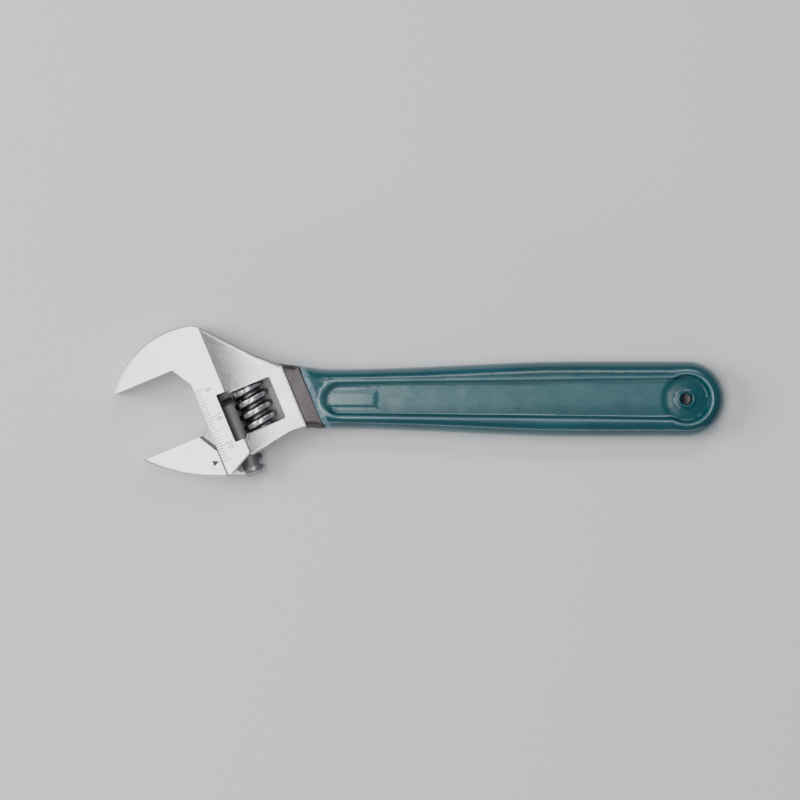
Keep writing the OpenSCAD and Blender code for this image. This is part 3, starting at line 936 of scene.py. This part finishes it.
# ---- movable jaw
def jaw_block():
    """The movable jaw's block, as thick as the plate."""
    bottom = JAW_ARC_Y - math.sqrt(JAW_ARC_R**2 - (JAW_ARC_X - JAW_BACK) ** 2)
    start = math.atan2(-OPENING - JAW_ARC_Y, JAW_TIP - JAW_ARC_X)
    end = math.atan2(bottom - JAW_ARC_Y, JAW_BACK - JAW_ARC_X)
    arc_points = arc(JAW_ARC_X, JAW_ARC_Y, JAW_ARC_R, start, end, 50)[1:-1]
    corners = [
        (JAW_TIP, -OPENING, 0.35, 0.7),
        *((x, y, 0, 0.8) for x, y in arc_points),
        (JAW_BACK, bottom, 0.3, 0.2),
        (JAW_BACK, -OPENING - DROP, 0.4, 0.25),
        (-FLAT + JAW_BACK, -OPENING, 0.4, 0.16),
    ]
    return relief("movable_jaw_piece", outline(corners), level(HALF_T - SKIN), HEAD)


def flat_distance(x, y):
    """Distance from the jaw's sixty degree flat, towards the throat."""
    lean = math.radians(30)
    return (x - JAW_BACK) * math.cos(lean) + (y + OPENING + DROP) * math.sin(lean)


def jaw_web():
    """Thin web between the jaw block and the rack."""
    bottom = JAW_ARC_Y - math.sqrt(JAW_ARC_R**2 - (JAW_ARC_X - JAW_BACK) ** 2)
    arc_points = arc(FILLET_X, FILLET_Y, FILLET_R, 0, -math.pi / 2, 24)
    corners = [
        (JAW_BACK, FILLET_Y, 0.2, 0.3),
        *((x, y, 0, 0.3) for x, y in arc_points if x < JAW_BACK - 0.02),
        (WEB_X, FILLET_Y - FILLET_R, 0, 0.2),
        (WEB_X, bottom + 4, 0, 0.2),
        (JAW_BACK, bottom + 0.2, 1, 0.3),
        (RACK_X - RACK_R, RACK_BOTTOM + RACK_CHAMFER, 0, 0.3),
        (RACK_X, RACK_BOTTOM + RACK_CHAMFER, 0, 0.2),
        (RACK_X, RACK_TOP - RACK_NOSE, 0, 0.3),
    ]
    return relief("web", outline(corners), level(WEB_HALF), HEAD)


def rack_solid():
    """Round rack before its grooves, coned at the top and chamfered below, with soft corners."""
    chamfer, nose, soft = RACK_CHAMFER, RACK_NOSE, 0.25
    profile = [
        (RACK_R - nose - soft, RACK_TOP),
        (RACK_R - nose + 0.1, RACK_TOP - soft * 0.6),
        (RACK_R - soft * 0.6, RACK_TOP - nose + 0.1),
        (RACK_R, RACK_TOP - nose - soft),
        # ring where the rack's painted shade ends
        (RACK_R, RACK_LIT_END_Y),
        (RACK_R, RACK_BOTTOM + chamfer + soft),
        (RACK_R - soft * 0.6, RACK_BOTTOM + chamfer - 0.1),
        (RACK_R - chamfer + 0.1, RACK_BOTTOM + soft * 0.6),
        (RACK_R - chamfer - soft, RACK_BOTTOM),
    ]
    return turned("rack", profile, RACK_X)


def rack_grooves():
    """Cutters for the grooves, which lean by the thread's lead angle."""
    lean = math.atan(LEAD / (2 * math.pi * (WORM_R - 1)))
    side_play, clearance, soft = 0.19, 0.4, 0.25
    depth, half_length = 4, 8
    root = CREST_W + 2 * side_play - 2 * clearance * math.tan(FLANK)
    mouth = root + 2 * depth * math.tan(FLANK)
    cutters = []
    for i in range(GROOVES):
        y = CREST_Y - (i - 0.5) * LEAD
        points = [
            (soft, -root / 2),
            (depth, -mouth / 2),
            (depth, mouth / 2),
            (soft, root / 2),
            (0, root / 2 - soft),
            (0, -root / 2 + soft),
        ]
        place = HEAD @ Matrix.Translation((WORM_X - WORM_R - clearance, y, 0))
        place = place @ Matrix.Rotation(-lean, 4, "X")
        cutters.append(prism("groove", points, -half_length, half_length, place))
    return cutters


def paint_jaw(centres, normals):
    """0 ground jaw, 1 web and the rack's lit lower end, 2 rack painted dark as shade, and a painted shadow band by
    the flat.
    """
    x, y, z = centres.T
    thin_web_and_lower_shade = np.abs(z) < WEB_HALF + 0.01
    web = (x > JAW_BACK + 0.02) | (thin_web_and_lower_shade & (x > -FLAT - 1) & (np.abs(normals[:, 2]) > 0.6))
    # painted shade on the rack above its lit lower end
    rack = (x > 3.5) & (y > RACK_LIT_END_Y)
    beside = flat_distance(x, y)
    # painted shadow: dark band on the web along the jaw's sixty degree flat
    painted_light_band = thin_web_and_lower_shade & (x < JAW_BACK + 0.3) & (beside > -0.4) & (beside < SHADOW_BAND_W)
    return np.where(rack | painted_light_band, 2, np.where(web, 1, 0))


def build_jaw():
    rack = combine(rack_solid(), rack_grooves(), "DIFFERENCE")
    jaw = combine(jaw_block(), [jaw_web(), rack], "UNION")
    return finish_piece(
        jaw, "jaw", [GROUND, WEB_STEEL, RACK_PAINTED_SHADE], paint_jaw, ["movable_jaw"]
    )


# ---- worm
def worm_profile():
    """Half of the thread's section as (distance along the axis, radius), crest first.

    crest and root are how far its rounded corners reach.
    """
    flank = (WORM_R - ROOT_R) * math.tan(FLANK)
    crest, root = 0.16, 0.3
    half = CREST_W / 2
    return [
        (0.0, WORM_R),
        (half * 0.5, WORM_R),
        (half - crest, WORM_R),
        (half - crest * 0.3, WORM_R - crest * 0.3),
        (half + crest * 0.26, WORM_R - crest),
        (half + flank * 0.5, WORM_R - (WORM_R - ROOT_R) * 0.5),
        (half + flank - root * 0.26, ROOT_R + root),
        (half + flank + root * 0.3, ROOT_R + root * 0.3),
        (half + flank + root, ROOT_R),
        (LEAD / 2, ROOT_R),
    ]


def helix_solid(name, steps=72, turns=6):
    """The worm's thread as a closed solid, longer than the worm at both ends."""
    half = worm_profile()
    section = [(-d, r) for d, r in reversed(half[1:])] + half
    width = len(section) - 1
    first = CREST_Y + LEAD
    rows = turns * steps
    verts = []
    for i in range(rows + 1):
        turn = 2 * math.pi * i / steps
        for d, r in section:
            y = first - LEAD * i / steps - d
            verts.append((WORM_X + r * math.cos(turn), y, r * math.sin(turn)))

    def at(i, j):
        """Number of a point, taking each turn's lower edge from the next turn's upper one."""
        if j == width and i <= rows - steps:
            return (i + steps) * (width + 1)
        return i * (width + 1) + j

    faces = []
    for i in range(rows):
        for j in range(width):
            faces.append((at(i, j), at(i + 1, j), at(i + 1, j + 1), at(i, j + 1)))
    verts.append((WORM_X, first + 2 * LEAD, 0))
    verts.append((WORM_X, first - LEAD * turns - 2 * LEAD, 0))
    upper = [at(0, j) for j in range(width + 1)] + [at(i, 0) for i in range(steps - 1, 0, -1)]
    lower = [at(i, width) for i in range(rows - steps, rows + 1)]
    lower += [at(rows, j) for j in range(width - 1, 0, -1)]
    for ring, tip in ((upper, len(verts) - 2), (lower, len(verts) - 1)):
        faces += [(ring[k], ring[(k + 1) % len(ring)], tip) for k in range(len(ring))]
    obj = to_object(name, verts, faces, HEAD)
    drop_loose(obj)
    return obj


def paint_worm(centres, normals):
    """0 bright lands and ends, 1 flanks, roots and bore, painted darker as shade in the grooves."""
    x, z = centres[:, 0] - WORM_X, centres[:, 2]
    rho = np.hypot(x, z)
    outward = (normals[:, 0] * x + normals[:, 2] * z) / np.maximum(rho, 1e-6)
    land = (rho > WORM_R - 0.2) & (outward > 0.4)
    along = np.abs(normals[:, 1])
    end = (along > 0.99) | ((rho > ROOT_R + 0.5) & (along > 0.6) & (outward > 0.3))
    return np.where(land | end, 0, 1)


def build_worm():
    bottom = WORM_TOP - WORM_L
    chamfer, outer = 0.45, WORM_R + 0.02
    profile = [
        (WORM_R - chamfer, WORM_TOP),
        (outer, WORM_TOP - chamfer),
        (outer, bottom + chamfer),
        (WORM_R - chamfer, bottom),
    ]
    envelope = turned("envelope", profile, WORM_X)
    worm = combine(helix_solid("thumb_worm"), [envelope], "INTERSECT")
    seat_r = SPRING_R + WIRE_R + 0.25
    bore_r = PIN_R + 0.06
    profile = [
        (seat_r + 0.3, WORM_TOP + 0.1),
        (seat_r, WORM_TOP - 0.25),
        (seat_r, WORM_TOP - SPRING_L),
        (bore_r, WORM_TOP - SPRING_L - 0.2),
        (bore_r, bottom + 0.25),
        (PIN_R + 0.35, bottom - 0.1),
    ]
    combine(worm, [turned("bore", profile, WORM_X, 64)], "DIFFERENCE")
    looks = [WORM_STEEL, WORM_GROOVE_SHADE]
    return finish_piece(worm, "thumb_worm", looks, paint_worm, ["worm"], angle=35)


def build_spring():
    """Coil of round wire in the worm's counterbore."""
    steps, sides, turns = 36, 12, 5
    rise = SPRING_L - 2 * WIRE_R - 0.1
    rows = steps * turns
    verts = []
    for i in range(rows + 1):
        t = i / rows
        turn = 2 * math.pi * i / steps
        for j in range(sides):
            around = 2 * math.pi * j / sides
            r = SPRING_R + WIRE_R * math.cos(around)
            y = WIN_TOP - WIRE_R - 0.05 - rise * t - WIRE_R * math.sin(around)
            verts.append((WORM_X + r * math.cos(turn), y, r * math.sin(turn)))
    faces = []
    for i in range(rows):
        for j in range(sides):
            a, b = i * sides + j, i * sides + (j + 1) % sides
            faces.append((b, a, a + sides, b + sides))
    faces += [tuple(range(sides)), tuple(rows * sides + j for j in range(sides))[::-1]]
    spring = to_object("spring_coil", verts, faces, HEAD)
    return finish_piece(
        spring, "wrench_body", [WIRE_STEEL], None, ["worm_spring"], angle=60
    )


# ---- scale and pointer
def ribbon(points, width, closed):
    """Strip of even width along a line, let into the plate's face."""
    p = np.array(points, float)
    count = len(p)
    ahead = np.roll(p, -1, axis=0) - p
    if not closed:
        ahead[-1] = ahead[-2]
    ahead /= np.linalg.norm(ahead, axis=1)[:, None]
    behind = np.roll(ahead, 1, axis=0)
    if not closed:
        behind[0] = ahead[0]
    along = ahead + behind
    along /= np.linalg.norm(along, axis=1)[:, None]
    left = np.stack([-along[:, 1], along[:, 0]], 1)
    left /= np.maximum((along * ahead).sum(1), 0.5)[:, None]
    verts, faces = [], []
    for side, z in ((1, HALF_T), (-1, HALF_T), (-1, HALF_T - INLAY), (1, HALF_T - INLAY)):
        verts += [(*q, z) for q in p + side * left * width / 2]
    spans = count if closed else count - 1
    for k in range(4):
        this, other = k * count, (k + 1) % 4 * count
        for i in range(spans):
            j = (i + 1) % count
            faces.append((this + i, other + i, other + j, this + j))
    if not closed:
        faces.append(tuple(k * count for k in range(4))[::-1])
        faces.append(tuple(k * count + count - 1 for k in range(4)))
    return [HEAD @ Vector(v) for v in verts], faces


def digit_line(digit):
    """Line of a digit in a box of unit width and height, and whether it is closed."""
    if digit == "0":
        turn = np.linspace(0, 2 * math.pi, 28, endpoint=False)
        return list(zip(0.5 + 0.42 * np.cos(turn), 0.5 + 0.46 * np.sin(turn))), True
    if digit == "1":
        return [(0.25, 0.78), (0.55, 0.97), (0.55, 0.03)], False
    turn = np.linspace(math.radians(165), math.radians(-40), 14)
    bowl = list(zip(0.5 + 0.4 * np.cos(turn), 0.7 + 0.26 * np.sin(turn)))
    return bowl + [(0.1, 0.04), (0.95, 0.04)], False


def join_parts(name, parts):
    """One object from several (points, faces) pairs."""
    verts, faces = [], []
    for more_verts, more_faces in parts:
        start = len(verts)
        verts += more_verts
        faces += [tuple(start + v for v in face) for face in more_faces]
    return to_object(name, verts, faces)


def build_scale():
    """Millimetre graduations on the plate, numbered every ten."""
    parts = []
    for i in range(TICKS):
        length = TEN_L if i % 10 == 0 else FIVE_L if i % 5 == 0 else TICK_L
        y = SCALE_START - i
        parts.append(ribbon([(SCALE_X, y), (SCALE_X + length, y)], TICK_W, False))
    marks = join_parts("scale_marks", parts)
    finish_piece(marks, "wrench_body", [ETCH])
    parts = []
    for label, y in (("0", -10.6), ("10", -20.2), ("20", -30.6)):
        total = len(label) * DIGIT_W + (len(label) - 1) * DIGIT_GAP
        for k, digit in enumerate(label):
            line, closed = digit_line(digit)
            top = y + total / 2 - k * (DIGIT_W + DIGIT_GAP)
            points = [(NUMERAL_X + (v - 0.5) * DIGIT_H, top - u * DIGIT_W) for u, v in line]
            parts.append(ribbon(points, STROKE_W, closed))
    numerals = join_parts("scale_numerals", parts)
    finish_piece(numerals, "wrench_body", [ETCH])


def build_pointer():
    """Black pointer on the movable jaw, read against the scale."""
    points = [(-0.85, -34.4), (-3.2, -33.3), (-3.2, -35.5)]
    pointer = prism("pointer_mark", points, HALF_T - INLAY, HALF_T, HEAD)
    finish_piece(pointer, "jaw", [INK])


def polish_pin():
    pin = nodes["worm_pin"]
    pin.data.materials.clear()
    pin.data.materials.append(PIN_STEEL)
    bevel = pin.modifiers.new("bevel", "BEVEL")
    bevel.width = 0.12 * MM
    bevel.segments = 2
    bevel.limit_method = "ANGLE"
    bevel.angle_limit = math.radians(50)
    bevel.harden_normals = True


# ---- stage
def area_light(name, at, aim, size, power):
    """Rectangular light, with places and sizes in metres."""
    light = bpy.data.lights.new(name, "AREA")
    light.shape = "RECTANGLE"
    light.size, light.size_y = size
    light.energy = power
    obj = bpy.data.objects.new(name, light)
    obj.location = at
    obj.rotation_euler = (Vector(aim) - Vector(at)).to_track_quat("-Z", "Y").to_euler()
    bpy.context.scene.collection.objects.link(obj)


def build_stage():
    """Paper floor, soft lights and the camera straight above."""
    n = Nodes("floor_paper")
    speck = n.noise(n.stretched((1, 1, 1)), 0.6, 3.0)
    n.set(
        Base_Color=n.mix(n.ramp(speck, 0.3, 0.7), rgb(0.78, 0.78, 0.79), rgb(0.81, 0.81, 0.82)),
        Roughness=0.8,
    )
    bpy.ops.mesh.primitive_plane_add(size=6, location=(0, 0, -0.0002))
    floor = bpy.context.active_object
    floor.name = "floor"
    floor.data.materials.append(n.material)
    world = bpy.data.worlds.new("studio")
    world.use_nodes = True
    world.node_tree.nodes["Background"].inputs[0].default_value = rgb(0.85, 0.90, 1.0)
    world.node_tree.nodes["Background"].inputs[1].default_value = 0.25
    bpy.context.scene.world = world
    area_light("head_softbox", (-0.125, 0.0, 0.80), (-0.125, 0.0, 0), (0.18, 0.60), 2.6)
    area_light("side_fill", (-0.95, 0.1, 0.75), (0, 0, 0), (0.6, 0.6), 9.0)
    area_light("handle_softbox", (0.16, 0.62, 0.72), (0.10, 0.0, 0), (0.6, 0.2), 2.2)
    area_light("near_strip", (0.0, -0.60, 0.15), (0, 0, 0), (1.0, 0.06), 1.0)
    camera = bpy.data.objects.new("camera", bpy.data.cameras.new("camera"))
    camera.data.sensor_width = SENSOR
    camera.data.lens = SENSOR * CAMERA_H / VIEW_W
    camera.location = (VIEW_X * MM, VIEW_Y * MM, (CAMERA_H + HALF_T + VIEW_Z) * MM)
    camera.data.clip_start = 0.01
    bpy.context.scene.collection.objects.link(camera)
    bpy.context.scene.camera = camera


build_body()
build_grip()
build_jaw()
build_worm()
build_spring()
polish_pin()
build_scale()
build_pointer()
build_stage()
